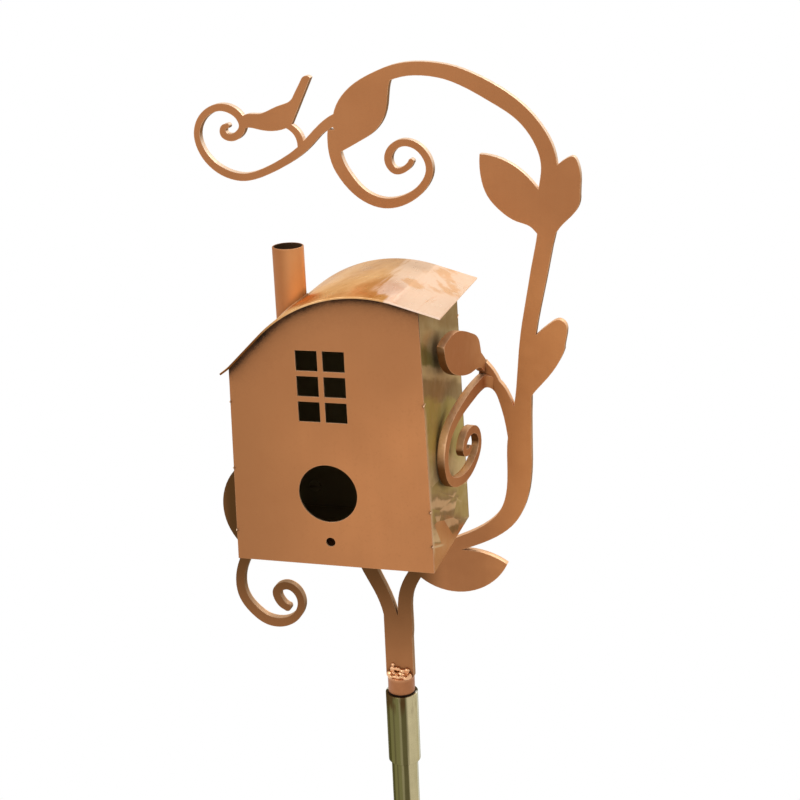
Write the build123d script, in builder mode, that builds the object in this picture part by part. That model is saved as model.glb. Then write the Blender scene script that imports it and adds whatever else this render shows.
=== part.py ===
"""House-shaped bird feeder on a sectional garden pole.

A sheet-metal house hangs on the front of a flat scroll of vines cut from plate. The scroll's stem
is welded to a round plug, which turns in the socket collar at the top of the pole.

Units are millimetres. Z points up along the pole, X to the right and -Y to the front.
The origin is on the pole's axis at ground level.
"""

import os
from math import cos, hypot, radians, sin, tan

from build123d import *

# Pole sections, socket collars and ground spike
POLE_OD = 19.0
POLE_WALL = 1.5
POLE_SECTION = 300.0
GROUND_DEPTH = 150.0
COLLAR_WALL = 1.9
COLLAR_LENGTH = 54.0
FIT_CLEARANCE = 0.05
TUBE_EDGE = 0.4
SPIKE_CONE = 60.0
SPIKE_TIP_RADIUS = 2.5
SPIKE_PLUG_LENGTH = 35.0
PLUG_SHOW = 13.0
DEPTH_RING_Z = 2.0
DEPTH_RING_WIDTH = 3.0
DEPTH_RING_CUT = 0.6

# Scroll plate: its stem, its height above the house's lower edge and the shoot that is bent forward
PLATE_T = 5.0
SCROLL_RISE = 302.5
STEM_WIDTH = 20.0
STEM_LENGTH = 125.0
STEM_FORK = 78.0
BEND_ANGLE = 82.0
BEND_RADIUS = 6.0
SHOOT_CLEARANCE = 0.46
WELD_LEG = 4.5
WELD_LENGTH = 17.0

# House shell
SHEET = 1.2
HOUSE_WIDTH = 130.0
HOUSE_DEPTH = 93.0
LEFT_WALL_HEIGHT = 127.2
RIGHT_WALL_HEIGHT = 168.8
WALL_BATTER = 1.4
ROOF_LEFT_SLOPE = 45.0
ROOF_RIGHT_SLOPE = 16.0
CROWN_RADIUS = 88.0
LEFT_EAVE = 5.5
LEFT_EAVE_SLOPE = 35.0
RIGHT_EAVE = 14.5
EAVE_RADIUS = 20.0
ROOF_OVERHANG = 3.0

# Openings in the front panel, placed from the middle of its lower edge
ENTRY_RADIUS = 19.0
ENTRY_X = -1.8
ENTRY_Z = 48.6
PERCH_HOLE_RADIUS = 3.0
PERCH_HOLE_Z = 16.0
PANE_WIDTH = 13.9
PANE_HEIGHT = 12.9
GLAZING_BAR = 3.5
WINDOW_X = -2.2
WINDOW_Z = 118.6
PANE_COLUMNS = 2
PANE_ROWS = 3

# Chimney
CHIMNEY_OD = 20.0
CHIMNEY_WALL = 1.5
CHIMNEY_INSET = 30.0
CHIMNEY_TOP = 195.0
SOLDER_LEG = 0.8

# Clean-out hatch in the floor and its swinging cover
HATCH_WIDTH = 56.0
HATCH_DEPTH = 46.0
HATCH_CORNER = 6.0
COVER_LAP = 10.0
COVER_CORNER = 5.0
COVER_GAP = 0.1
RIVET_RADIUS = 2.0
RIVET_HEAD_RADIUS = 4.0
RIVET_HEAD = 1.4
RIVET_INSET = 5.0
TAB_RADIUS = 7.0
TAB_REACH = 5.0
DRAIN_RADIUS = 2.5
DRAIN_INSET = 7.0

# Screws that hold the back panel to the scroll
SCREW_RADIUS = 2.0
SCREW_CLEARANCE = 0.15
SCREW_HEAD_RADIUS = 4.0
SCREW_HEAD = 2.6
SCREW_SLOT = 1.0
SCREW_PROUD = 1.6
WASHER_RADIUS = 4.5
WASHER_T = 0.8
NUT_ACROSS_FLATS = 7.0
NUT_T = 3.2

# The scroll's drawing is 302.5 units high; GRID is the length of one unit. Its points are (x, z) from
# the pole's axis and the house's lower edge.
GRID = SCROLL_RISE / 302.5
SCREW_PLACES = [(x * GRID, z * GRID) for x, z in [(-54, 16), (16, 14), (11, 46)]]
BEND_X, BEND_LOW, BEND_HIGH = (67.7 * GRID, 92.5 * GRID, 110 * GRID)
CURL_REACH, CURL_Z = (74.2 * GRID, 63 * GRID)

# Levels and planes that follow from the sizes above
POLE_BORE = POLE_OD / 2 - POLE_WALL
COLLAR_BORE = POLE_OD / 2 + FIT_CLEARANCE
LOWER_TOP = POLE_SECTION - GROUND_DEPTH
UPPER_TOP = LOWER_TOP + POLE_SECTION
STEM_FOOT = UPPER_TOP + COLLAR_LENGTH / 2 + PLUG_SHOW
HOUSE_Z = STEM_FOOT + STEM_LENGTH
PLATE_FRONT = -PLATE_T / 2
HOUSE_FRONT = PLATE_FRONT - HOUSE_DEPTH
HOUSE_MIDDLE = PLATE_FRONT - HOUSE_DEPTH / 2
INNER_DEPTH = HOUSE_DEPTH - 2 * SHEET
BATTER = tan(radians(WALL_BATTER))
ABOVE_ROOF = LEFT_WALL_HEIGHT + RIGHT_WALL_HEIGHT

# The right wall stands just clear of the bent shoot's curl, which sets the place of the house
CURL_INNER_X = BEND_X - PLATE_T * sin(radians(BEND_ANGLE)) - CURL_REACH * cos(radians(BEND_ANGLE))
HOUSE_X = CURL_INNER_X - SHOOT_CLEARANCE + CURL_Z * BATTER - HOUSE_WIDTH / 2
CHIMNEY_X = CHIMNEY_INSET - HOUSE_WIDTH / 2

os.makedirs("parts", exist_ok=True)


def upright_plane(x, y):
    """The upright plane at depth y that faces the front, with its origin at the house's lower edge."""
    return Plane(origin=(x, y, HOUSE_Z), x_dir=(1, 0, 0), z_dir=(0, -1, 0))


def finish(builder, name):
    """Labels a finished piece and writes its file."""
    builder.part.label = name
    export_step(builder.part, f"parts/{name}.step")


# Scroll outlines


def stroke_edges(points):
    """The two edges of a band that runs along (x, z, width) points."""
    left, right = [], []
    for i, (x, z, width) in enumerate(points):
        before = points[max(i - 1, 0)]
        after = points[min(i + 1, len(points) - 1)]
        run_in = hypot(x - before[0], z - before[1]) or 1.0
        run_out = hypot(after[0] - x, after[1] - z) or 1.0
        along_x = (x - before[0]) * run_out / run_in + (after[0] - x) * run_in / run_out
        along_z = (z - before[1]) * run_out / run_in + (after[1] - z) * run_in / run_out
        length = hypot(along_x, along_z)
        side_x = -along_z / length * width / 2
        side_z = along_x / length * width / 2
        left.append((x + side_x, z + side_z))
        right.append((x - side_x, z - side_z))
    return left, right


def draw_stroke(units):
    """Draws a tapering band with a square root and a round end."""
    points = [(x * GRID, z * GRID, width * GRID) for x, z, width in units]
    left, right = stroke_edges(points)
    end_x, end_z, width = points[-1]
    half_x = (right[-1][0] - left[-1][0]) / 2
    half_z = (right[-1][1] - left[-1][1]) / 2
    with BuildLine() as outline:
        Spline(*left)
        ThreePointArc(left[-1], (end_x - half_z, end_z + half_x), right[-1])
        Spline(*reversed(right))
        Line(right[0], left[0])
    make_face(outline.edges())


def draw_leaf(base_units, tip_units, left_units, right_units):
    """Draws a pointed leaf whose two edges are arcs that bulge by left and right of its midline."""
    base = (base_units[0] * GRID, base_units[1] * GRID)
    tip = (tip_units[0] * GRID, tip_units[1] * GRID)
    left, right = left_units * GRID, right_units * GRID
    middle_x, middle_z = (base[0] + tip[0]) / 2, (base[1] + tip[1]) / 2
    length = hypot(tip[0] - base[0], tip[1] - base[1])
    side_x, side_z = -(tip[1] - base[1]) / length, (tip[0] - base[0]) / length
    with BuildLine() as outline:
        ThreePointArc(base, (middle_x + side_x * left, middle_z + side_z * left), tip)
        ThreePointArc(tip, (middle_x - side_x * right, middle_z - side_z * right), base)
    make_face(outline.edges())


def draw_blade(*edges):
    """Draws a leaf from its edges, each a spline through points, closed by a line that the vine covers."""
    edges = [[(x * GRID, z * GRID) for x, z in edge] for edge in edges]
    with BuildLine() as outline:
        for edge in edges:
            Spline(*edge)
        Line(edges[-1][-1], edges[0][0])
    make_face(outline.edges())


def draw_bird():
    """Draws the bird: its back, cocked tail, belly and throat."""
    back = [(-91, 266), (-86.5, 269.6), (-77, 270), (-70, 272.7), (-63, 275.4), (-57, 277.6), (-53.6, 281.5)]
    tail = [(-47.8, 291.6), (-44.6, 294), (-41.5, 292.7)]
    belly = [(-56.2, 262.4), (-60.5, 260.4), (-70, 258.8), (-79, 259.9), (-85, 261), (-91, 258)]
    back, tail, belly = ([(x * GRID, z * GRID) for x, z in edge] for edge in (back, tail, belly))
    with BuildLine() as outline:
        Spline(*back)
        Line(back[-1], tail[0])
        ThreePointArc(*tail)
        Line(tail[-1], belly[0])
        Spline(*belly)
        Line(belly[-1], back[0])
    make_face(outline.edges())


# Bands of the scroll as (x, z, width) in units of the drawing
LEFT_BRANCH = [
    (-4.8, -95, 10.4), (-6, -74, 9.6), (-11, -60, 9.6), (-18.3, -45, 10.4), (-30, -14, 11),
    (-54, 16, 12), (-82, 9, 10.5), (-101, -26, 8.5), (-114.6, -55, 6.6), (-113.5, -74, 6.8),
    (-106, -84.3, 7), (-97, -90.5, 7.2), (-88.5, -91.8, 7), (-77, -87.6, 5.8), (-70.6, -76, 5.4),
    (-74.3, -65.6, 5.6), (-81.5, -62.6, 5.8), (-88.3, -67.5, 6.2), (-87.6, -73.2, 6), (-81.4, -79.4, 5.8),
]
VINE = [
    (4.8, -95, 10.4), (5.4, -74, 10), (7, -60, 9.5), (13, -47, 9.5), (28, -30, 9), (48, -19.5, 9.5),
    (66, -10.5, 11), (80, 2, 13), (87, 20, 15), (89, 56, 16), (91.5, 80, 11.5), (94, 111, 10),
    (96.5, 133, 10), (100, 152, 10.3), (104.5, 175, 11), (107.5, 190, 11), (110, 205, 13),
    (110.5, 222, 13.4), (111, 237, 10.4), (109, 248, 10), (103.5, 259, 9.6), (93.7, 270.7, 9.6),
    (81, 280, 10.5), (67, 288, 10.4), (50, 295.2, 9.4), (31, 298.2, 8.6), (16, 297, 8.6), (2, 292, 9),
    (-11.8, 284.4, 9), (-20.2, 276.4, 8), (-25, 263, 7),
]
TOP_TENDRIL = [
    (-27.5, 260, 8.5), (-28, 247, 8), (-25.8, 238, 8), (-20.5, 228.8, 7.8), (-11.5, 219.2, 7), (4.5, 213, 6.6),
    (17.5, 215.5, 6), (28.5, 223, 5.2), (34.4, 235, 4.8), (31.4, 244.8, 4.6), (24.8, 250.6, 4.5), (17.4, 252, 4.7),
    (10, 248, 5), (7.5, 240.5, 5), (12, 234, 4.2), (18.5, 235.5, 4), (22.5, 240, 3.8),
]
BIRD_TENDRIL = [
    (-20, 268, 8), (-30.5, 264.3, 7), (-37, 259.7, 6), (-43.5, 253.3, 6), (-50.5, 246.8, 5.8),
    (-61, 239.8, 5.4), (-76, 232.4, 5), (-91, 228.6, 5), (-103, 231, 5.2), (-112.8, 237.2, 4.8),
    (-119.5, 246.5, 4.4), (-121.6, 257, 4.2), (-118.5, 265.7, 4.4), (-112.5, 271.4, 4.6), (-105, 274, 4.8),
    (-97.2, 272.6, 5.2), (-91, 267.2, 5), (-89.8, 261, 4.6), (-93, 256.4, 5), (-98.7, 254.5, 4.8),
    (-103, 256.8, 4.6), (-103, 260.4, 4), (-100.2, 262, 3.4),
]
BIRD_LEG = [(-59, 262.5, 4), (-52.8, 257.6, 4.4), (-50.4, 247.5, 5)]
SHOOT = [(88, 48, 11), (85.5, 62, 9.5), (83, 74, 8.8), (79.8, 84, 8), (75.8, 92, 7.2), (66.5, 97, 8.6)]
SHOOT_LEAF_STALK = [(73.5, 95, 6.5), (70.5, 101, 6.5), (66, 107, 6)]

# Bands of the bent shoot as (reach forward of the bend, z, width)
SHOOT_TENDRIL = [
    (0, 97, 8.8), (13, 96.5, 8), (29, 94, 8), (44, 90.5, 7), (57, 85.5, 7), (65.5, 79.5, 7), (70, 72, 6.6),
    (71, 63, 6.2), (68.5, 55.5, 6), (61, 48.8, 6), (49, 45, 6), (34.5, 44.8, 6), (21.5, 49.5, 5.6),
    (14, 57.5, 5.2), (15, 65, 5), (22, 70.8, 5.2), (31, 71.6, 5.4), (38.5, 67.5, 5.6), (40.5, 62.5, 5.4),
    (36, 59.6, 4.6), (30.5, 61, 4),
]
SHOOT_STALK = [(0, 106.3, 7), (3.5, 110, 7), (10, 114.5, 9)]
SHOOT_LEAF_TOP = [
    (1, 107), (5.8, 114), (8.4, 121), (10.6, 127.2), (15.5, 132), (24, 136), (34, 140), (44, 142.8), (54, 143.4),
    (62, 142), (68.4, 139.6),
]
SHOOT_LEAF_FOOT = [
    (68.4, 139.6), (67.4, 131.5), (63.6, 125), (57.5, 119.8), (50, 116), (42, 113.2), (33, 111), (24, 110), (16, 110),
    (9, 108.5), (4, 104.8),
]

forward = Plane(
    origin=(BEND_X, PLATE_FRONT, HOUSE_Z),
    x_dir=(-cos(radians(BEND_ANGLE)), -sin(radians(BEND_ANGLE)), 0),
    z_dir=(-sin(radians(BEND_ANGLE)), cos(radians(BEND_ANGLE)), 0),
)

# The round inside of the shoot's bend, as wide as the shoot
with BuildPart() as inner_bend:
    with BuildSketch(Plane.XY.offset(HOUSE_Z)):
        with BuildLine():
            run = BEND_RADIUS * tan(radians(BEND_ANGLE / 2))
            bent_end = forward.from_local_coords(Vector(run, 0, 0))
            Polyline((BEND_X + run, PLATE_FRONT), (BEND_X, PLATE_FRONT), (bent_end.X, bent_end.Y))
            RadiusArc((bent_end.X, bent_end.Y), (BEND_X + run, PLATE_FRONT), BEND_RADIUS)
        make_face()
    extrude(amount=BEND_HIGH)
    with BuildSketch(upright_plane(0, PLATE_FRONT)):
        draw_stroke(SHOOT)
    extrude(amount=2 * run, mode=Mode.INTERSECT)

with BuildPart() as scroll_plate:
    with BuildSketch(upright_plane(0, -PLATE_FRONT)) as flat_scroll:
        with Locations((0, -(STEM_LENGTH + STEM_FORK) / 2)):
            Rectangle(STEM_WIDTH, STEM_LENGTH - STEM_FORK)
        draw_stroke(LEFT_BRANCH)
        draw_stroke(VINE)
        draw_stroke(TOP_TENDRIL)
        draw_stroke(BIRD_TENDRIL)
        draw_stroke(BIRD_LEG)
        draw_stroke(SHOOT)
        draw_stroke(SHOOT_LEAF_STALK)
        # leaves: pair on the vine, single one below it, one on the arch, low ones right and left
        draw_blade(
            [(109, 217), (102.6, 225.2), (97, 231.5), (89, 238), (79, 243), (67, 245.3)],
            [(67, 245.3), (67, 234), (71.4, 218.8), (80, 209), (90, 202.8), (98, 200), (103, 195), (109, 188)],
        )
        draw_blade(
            [(110, 234), (116.5, 239.3), (121.5, 243), (126, 244.3), (129, 240), (130.6, 230), (130.2, 218)],
            [(130.2, 218), (126.5, 209), (120, 202.5), (115, 196.5), (109, 186)],
        )
        draw_blade(
            [(96, 124), (101.5, 129.6), (110, 137), (116.6, 139.8), (120.3, 137), (121, 130), (119.5, 120)],
            [(119.5, 120), (114, 108.5), (107, 99), (100, 91), (94, 80)],
        )
        draw_blade(
            [(14, 296), (10.2, 289), (8.2, 276), (4.5, 265.3), (-2, 258), (-12, 252), (-24.5, 245.4), (-30, 243)],
            [(-30, 243), (-28, 258), (-19, 275.5), (-3, 288.5)],
        )
        draw_leaf((13, -43), (79, -33), 13, 18)
        draw_leaf((-103, -40), (-101, 32), 22, 16)
        # leaf behind the house that takes two of the screws
        draw_leaf((23, -38), (8, 74), 14, 14)
        draw_bird()
        # the shoot's bend line ends the flat plate there
        with Locations((BEND_X - TAB_RADIUS, (BEND_LOW + BEND_HIGH) / 2)):
            Rectangle(2 * TAB_RADIUS, 2 * (BEND_HIGH - BEND_LOW), mode=Mode.SUBTRACT)
        with Locations(*SCREW_PLACES):
            Circle(SCREW_RADIUS + SCREW_CLEARANCE, mode=Mode.SUBTRACT)
    extrude(amount=PLATE_T)
    with BuildSketch(forward):
        draw_stroke(SHOOT_TENDRIL)
        draw_stroke(SHOOT_STALK)
        draw_blade(SHOOT_LEAF_TOP, SHOOT_LEAF_FOOT)
    extrude(amount=PLATE_T)
    with BuildSketch(Plane.XY.offset(HOUSE_Z + BEND_LOW)):
        with BuildLine():
            outer = CenterArc((BEND_X, PLATE_FRONT), PLATE_T, 90, BEND_ANGLE)
            Line(outer @ 1, (BEND_X, PLATE_FRONT))
            Line((BEND_X, PLATE_FRONT), outer @ 0)
        make_face()
    extrude(amount=BEND_HIGH - BEND_LOW)
    add(inner_bend.part)
finish(scroll_plate, "scroll_plate")

# House outlines, drawn from the middle of the house's lower edge

left_top = (-HOUSE_WIDTH / 2 + LEFT_WALL_HEIGHT * BATTER, LEFT_WALL_HEIGHT)
right_top = (HOUSE_WIDTH / 2 - RIGHT_WALL_HEIGHT * BATTER, RIGHT_WALL_HEIGHT)
left_rise = tan(radians(ROOF_LEFT_SLOPE))
right_fall = tan(radians(ROOF_RIGHT_SLOPE))
peak_x = right_top[1] + right_fall * right_top[0] - left_top[1] + left_rise * left_top[0]
peak_x = peak_x / (left_rise + right_fall)
peak = (peak_x, left_top[1] + left_rise * (peak_x - left_top[0]))
left_tip = (
    left_top[0] - LEFT_EAVE * cos(radians(LEFT_EAVE_SLOPE)),
    left_top[1] - LEFT_EAVE * sin(radians(LEFT_EAVE_SLOPE)),
)
right_tip = (
    right_top[0] + RIGHT_EAVE * cos(radians(ROOF_RIGHT_SLOPE)),
    right_top[1] - RIGHT_EAVE * sin(radians(ROOF_RIGHT_SLOPE)),
)
ROOF_POINTS = [left_tip, left_top, peak, right_tip]
ROOF_RADII = [EAVE_RADIUS, CROWN_RADIUS]


def draw_under_roof(mode):
    """Draws everything below the roof's underside."""
    with BuildLine() as outline:
        FilletPolyline(*ROOF_POINTS, radius=ROOF_RADII)
        Polyline(right_tip, (right_tip[0], -HOUSE_DEPTH), (left_tip[0], -HOUSE_DEPTH), left_tip)
    make_face(outline.edges(), mode=mode)


def draw_roof_band(thickness, mode):
    """Draws a band of the given thickness on top of the roof's underside."""
    with BuildLine() as outline:
        underside = FilletPolyline(*ROOF_POINTS, radius=ROOF_RADII)
        offset(underside, amount=thickness, side=Side.LEFT, closed=True)
    make_face(outline.edges(), mode=mode)


def draw_wall(side):
    """Draws the leaning section of the side wall, left for -1 and right for 1."""
    low = HOUSE_WIDTH / 2
    high = low - ABOVE_ROOF * BATTER
    Polygon(
        (side * low, 0),
        (side * high, ABOVE_ROOF),
        (side * (high - SHEET), ABOVE_ROOF),
        (side * (low - SHEET), 0),
        align=None,
    )
    draw_under_roof(Mode.INTERSECT)


def draw_gable():
    """Draws the outline of the front and back panels."""
    half = HOUSE_WIDTH / 2
    lean = ABOVE_ROOF * BATTER
    Polygon((-half, 0), (half, 0), (half - lean, ABOVE_ROOF), (lean - half, ABOVE_ROOF), align=None)
    draw_under_roof(Mode.INTERSECT)


with BuildPart() as front_panel:
    with BuildSketch(upright_plane(HOUSE_X, HOUSE_FRONT + SHEET)):
        draw_gable()
        with Locations((ENTRY_X, ENTRY_Z)):
            Circle(ENTRY_RADIUS, mode=Mode.SUBTRACT)
        with Locations((ENTRY_X, PERCH_HOLE_Z)):
            Circle(PERCH_HOLE_RADIUS, mode=Mode.SUBTRACT)
        with Locations((WINDOW_X, WINDOW_Z)):
            with GridLocations(PANE_WIDTH + GLAZING_BAR, PANE_HEIGHT + GLAZING_BAR, PANE_COLUMNS, PANE_ROWS):
                Rectangle(PANE_WIDTH, PANE_HEIGHT, mode=Mode.SUBTRACT)
    extrude(amount=SHEET)
finish(front_panel, "front_panel")

with BuildPart() as back_panel:
    with BuildSketch(upright_plane(HOUSE_X, PLATE_FRONT)):
        draw_gable()
        with Locations(*[(x - HOUSE_X, z) for x, z in SCREW_PLACES]):
            Circle(SCREW_RADIUS + SCREW_CLEARANCE, mode=Mode.SUBTRACT)
    extrude(amount=SHEET)
finish(back_panel, "back_panel")

with BuildPart() as left_wall:
    with BuildSketch(upright_plane(HOUSE_X, PLATE_FRONT - SHEET)):
        draw_wall(-1)
    extrude(amount=INNER_DEPTH)
finish(left_wall, "left_wall")

with BuildPart() as right_wall:
    with BuildSketch(upright_plane(HOUSE_X, PLATE_FRONT - SHEET)):
        draw_wall(1)
    extrude(amount=INNER_DEPTH)
finish(right_wall, "right_wall")

# The roof sheet lies on the panels' upper edges
with BuildPart() as roof_sheet:
    with BuildSketch(upright_plane(HOUSE_X, PLATE_FRONT)):
        draw_roof_band(SHEET, Mode.ADD)
    extrude(amount=HOUSE_DEPTH + ROOF_OVERHANG)
finish(roof_sheet, "roof_sheet")

# Chimney tube, cut to the roof's slope, with the solder round its foot
CHIMNEY_PLACE = (HOUSE_X + CHIMNEY_X, HOUSE_MIDDLE)

with BuildPart() as chimney_tube:
    with BuildSketch(Plane.XY.offset(HOUSE_Z)):
        with Locations(CHIMNEY_PLACE):
            Circle(CHIMNEY_OD / 2)
            Circle(CHIMNEY_OD / 2 - CHIMNEY_WALL, mode=Mode.SUBTRACT)
    extrude(amount=CHIMNEY_TOP)
    with BuildSketch(upright_plane(HOUSE_X, PLATE_FRONT)):
        draw_under_roof(Mode.ADD)
        draw_roof_band(SHEET, Mode.ADD)
    extrude(amount=HOUSE_DEPTH, mode=Mode.SUBTRACT)
    fillet(chimney_tube.edges().group_by(Axis.Z)[-1], TUBE_EDGE)
finish(chimney_tube, "chimney_tube")

with BuildPart() as chimney_solder:
    with BuildSketch(Plane.XY.offset(HOUSE_Z)):
        with Locations(CHIMNEY_PLACE):
            Circle(CHIMNEY_OD / 2 + SOLDER_LEG)
            Circle(CHIMNEY_OD / 2, mode=Mode.SUBTRACT)
    extrude(amount=CHIMNEY_TOP)
    with BuildSketch(upright_plane(HOUSE_X, PLATE_FRONT)):
        draw_roof_band(SHEET + SOLDER_LEG, Mode.ADD)
        draw_roof_band(SHEET, Mode.SUBTRACT)
    extrude(amount=HOUSE_DEPTH, mode=Mode.INTERSECT)
finish(chimney_solder, "chimney_solder")

# Floor with its hatch, and the cover that swings on one rivet below it
HATCH_PLACE = (HOUSE_X, HOUSE_MIDDLE)
COVER_WIDTH = HATCH_WIDTH + 2 * COVER_LAP
COVER_DEPTH = HATCH_DEPTH + 2 * COVER_LAP
RIVET_PLACE = (
    HATCH_PLACE[0] - COVER_WIDTH / 2 + RIVET_INSET,
    HATCH_PLACE[1] - COVER_DEPTH / 2 + RIVET_INSET,
)
TAB_PLACE = (
    HATCH_PLACE[0] + COVER_WIDTH / 2 - TAB_RADIUS + TAB_REACH,
    HATCH_PLACE[1] - COVER_DEPTH / 2 + TAB_RADIUS + COVER_CORNER,
)
RIVET_BORE = RIVET_RADIUS + FIT_CLEARANCE

with BuildPart() as floor_panel:
    with BuildSketch(upright_plane(HOUSE_X, PLATE_FRONT - SHEET)):
        inner = HOUSE_WIDTH / 2 - SHEET
        Polygon(
            (-inner, 0),
            (inner, 0),
            (inner - SHEET * BATTER, SHEET),
            (SHEET * BATTER - inner, SHEET),
            align=None,
        )
    extrude(amount=INNER_DEPTH)
    with BuildSketch(Plane.XY.offset(HOUSE_Z)):
        with Locations(HATCH_PLACE):
            RectangleRounded(HATCH_WIDTH, HATCH_DEPTH, HATCH_CORNER)
            with GridLocations(2 * (inner - DRAIN_INSET), INNER_DEPTH - 2 * DRAIN_INSET, 2, 2):
                Circle(DRAIN_RADIUS)
        with Locations(RIVET_PLACE):
            Circle(RIVET_BORE)
    extrude(amount=SHEET, mode=Mode.SUBTRACT)
finish(floor_panel, "floor_panel")

with BuildPart() as hatch_cover:
    with BuildSketch(Plane.XY.offset(HOUSE_Z - COVER_GAP)):
        with Locations(HATCH_PLACE):
            RectangleRounded(COVER_WIDTH, COVER_DEPTH, COVER_CORNER)
        with Locations(TAB_PLACE):
            Circle(TAB_RADIUS)
        with Locations(RIVET_PLACE):
            Circle(RIVET_BORE, mode=Mode.SUBTRACT)
    extrude(amount=-SHEET)
finish(hatch_cover, "hatch_cover")

RIVET_LOW = HOUSE_Z - SHEET - 2 * COVER_GAP

with BuildPart() as hatch_rivet:
    with BuildSketch(Plane.XY.offset(RIVET_LOW)):
        with Locations(RIVET_PLACE):
            Circle(RIVET_RADIUS)
    extrude(amount=HOUSE_Z + SHEET - RIVET_LOW)
    with BuildSketch(Plane.XY.offset(RIVET_LOW)):
        with Locations(RIVET_PLACE):
            Circle(RIVET_HEAD_RADIUS)
    extrude(amount=-RIVET_HEAD)
    with BuildSketch(Plane.XY.offset(HOUSE_Z + SHEET)):
        with Locations(RIVET_PLACE):
            Circle(RIVET_HEAD_RADIUS)
    extrude(amount=RIVET_HEAD)
    heads = hatch_rivet.edges().group_by(Axis.Z)
    fillet(heads[0] + heads[-1], RIVET_HEAD * 0.7)
finish(hatch_rivet, "hatch_rivet")

# Screws with their heads inside the house, and washers and nuts behind the scroll
WASHER_BACK = PLATE_T / 2 + WASHER_T
NUT_BACK = WASHER_BACK + NUT_T
SCREW_BACK = NUT_BACK + SCREW_PROUD
SCREW_SEAT = PLATE_FRONT - SHEET

with BuildPart() as house_screws:
    with BuildSketch(upright_plane(0, SCREW_BACK)):
        with Locations(*SCREW_PLACES):
            Circle(SCREW_RADIUS)
    extrude(amount=SCREW_BACK - SCREW_SEAT)
    with BuildSketch(upright_plane(0, SCREW_SEAT)):
        with Locations(*SCREW_PLACES):
            Circle(SCREW_HEAD_RADIUS)
    extrude(amount=SCREW_HEAD)
    fillet(house_screws.edges().group_by(Axis.Y)[0], SCREW_HEAD * 0.4)
    with BuildSketch(upright_plane(0, SCREW_SEAT - SCREW_HEAD / 2)):
        with Locations(*SCREW_PLACES):
            Rectangle(2 * SCREW_HEAD_RADIUS, SCREW_SLOT)
    extrude(amount=SCREW_HEAD, mode=Mode.SUBTRACT)
finish(house_screws, "house_screws")

with BuildPart() as house_washers:
    with BuildSketch(upright_plane(0, WASHER_BACK)):
        with Locations(*SCREW_PLACES):
            Circle(WASHER_RADIUS)
            Circle(SCREW_RADIUS + SCREW_CLEARANCE, mode=Mode.SUBTRACT)
    extrude(amount=WASHER_T)
finish(house_washers, "house_washers")

with BuildPart() as house_nuts:
    with BuildSketch(upright_plane(0, NUT_BACK)):
        with Locations(*SCREW_PLACES):
            RegularPolygon(NUT_ACROSS_FLATS / 2, 6, major_radius=False)
            Circle(SCREW_RADIUS + FIT_CLEARANCE, mode=Mode.SUBTRACT)
    extrude(amount=NUT_T)
finish(house_nuts, "house_nuts")

# Plug under the scroll's stem and the weld beads in front of and behind the joint
with BuildPart() as stem_plug:
    with BuildSketch(Plane.XY.offset(UPPER_TOP)):
        Circle(POLE_OD / 2)
    extrude(amount=STEM_FOOT - UPPER_TOP)
    chamfer(stem_plug.edges().filter_by(GeomType.CIRCLE), TUBE_EDGE)
finish(stem_plug, "stem_plug")

with BuildPart() as stem_weld:
    with BuildSketch(Plane.YZ):
        for side in (-1, 1):
            root = side * PLATE_T / 2
            toe = root + side * WELD_LEG
            with BuildLine():
                Line((root, STEM_FOOT), (toe, STEM_FOOT))
                ThreePointArc(
                    (toe, STEM_FOOT),
                    (root + side * WELD_LEG * 0.75, STEM_FOOT + WELD_LEG),
                    (root, STEM_FOOT + 1.4 * WELD_LEG),
                )
                Line((root, STEM_FOOT + 1.4 * WELD_LEG), (root, STEM_FOOT))
            make_face()
    extrude(amount=WELD_LENGTH / 2, both=True)
    with BuildSketch(Plane.XY.offset(STEM_FOOT)):
        Circle(POLE_OD / 2 - TUBE_EDGE)
    extrude(amount=2 * WELD_LEG, mode=Mode.INTERSECT)
finish(stem_weld, "stem_weld")

# Pole: two equal tube sections, each with a socket collar on its upper end, and the ground spike


def make_tube(name, low, length, outer, bore, ring_z=None):
    """Makes an upright tube with rounded rims and, if asked for, a turned ring that marks a level."""
    with BuildPart() as tube:
        with BuildSketch(Plane.XY.offset(low)):
            Circle(outer)
            Circle(bore, mode=Mode.SUBTRACT)
        extrude(amount=length)
        fillet(tube.edges().filter_by(GeomType.CIRCLE), TUBE_EDGE)
        if ring_z is not None:
            with BuildSketch(Plane.XY.offset(ring_z)):
                Circle(outer)
                Circle(outer - DEPTH_RING_CUT, mode=Mode.SUBTRACT)
            extrude(amount=DEPTH_RING_WIDTH, mode=Mode.SUBTRACT)
    finish(tube, name)


COLLAR_OUTER = COLLAR_BORE + COLLAR_WALL

make_tube("lower_pole", -GROUND_DEPTH, POLE_SECTION, POLE_OD / 2, POLE_BORE, DEPTH_RING_Z)
make_tube("upper_pole", LOWER_TOP, POLE_SECTION, POLE_OD / 2, POLE_BORE)
make_tube("lower_collar", LOWER_TOP - COLLAR_LENGTH / 2, COLLAR_LENGTH, COLLAR_OUTER, COLLAR_BORE)
make_tube("upper_collar", UPPER_TOP - COLLAR_LENGTH / 2, COLLAR_LENGTH, COLLAR_OUTER, COLLAR_BORE)

with BuildPart() as ground_spike:
    with BuildSketch(Plane.XZ):
        with BuildLine():
            Polyline(
                (0, -GROUND_DEPTH - SPIKE_CONE),
                (SPIKE_TIP_RADIUS, -GROUND_DEPTH - SPIKE_CONE),
                (POLE_OD / 2, -GROUND_DEPTH),
                (POLE_BORE - FIT_CLEARANCE, -GROUND_DEPTH),
                (POLE_BORE - FIT_CLEARANCE, SPIKE_PLUG_LENGTH - GROUND_DEPTH),
                (0, SPIKE_PLUG_LENGTH - GROUND_DEPTH),
                close=True,
            )
        make_face()
    revolve(axis=Axis.Z)
finish(ground_spike, "ground_spike")
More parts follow.
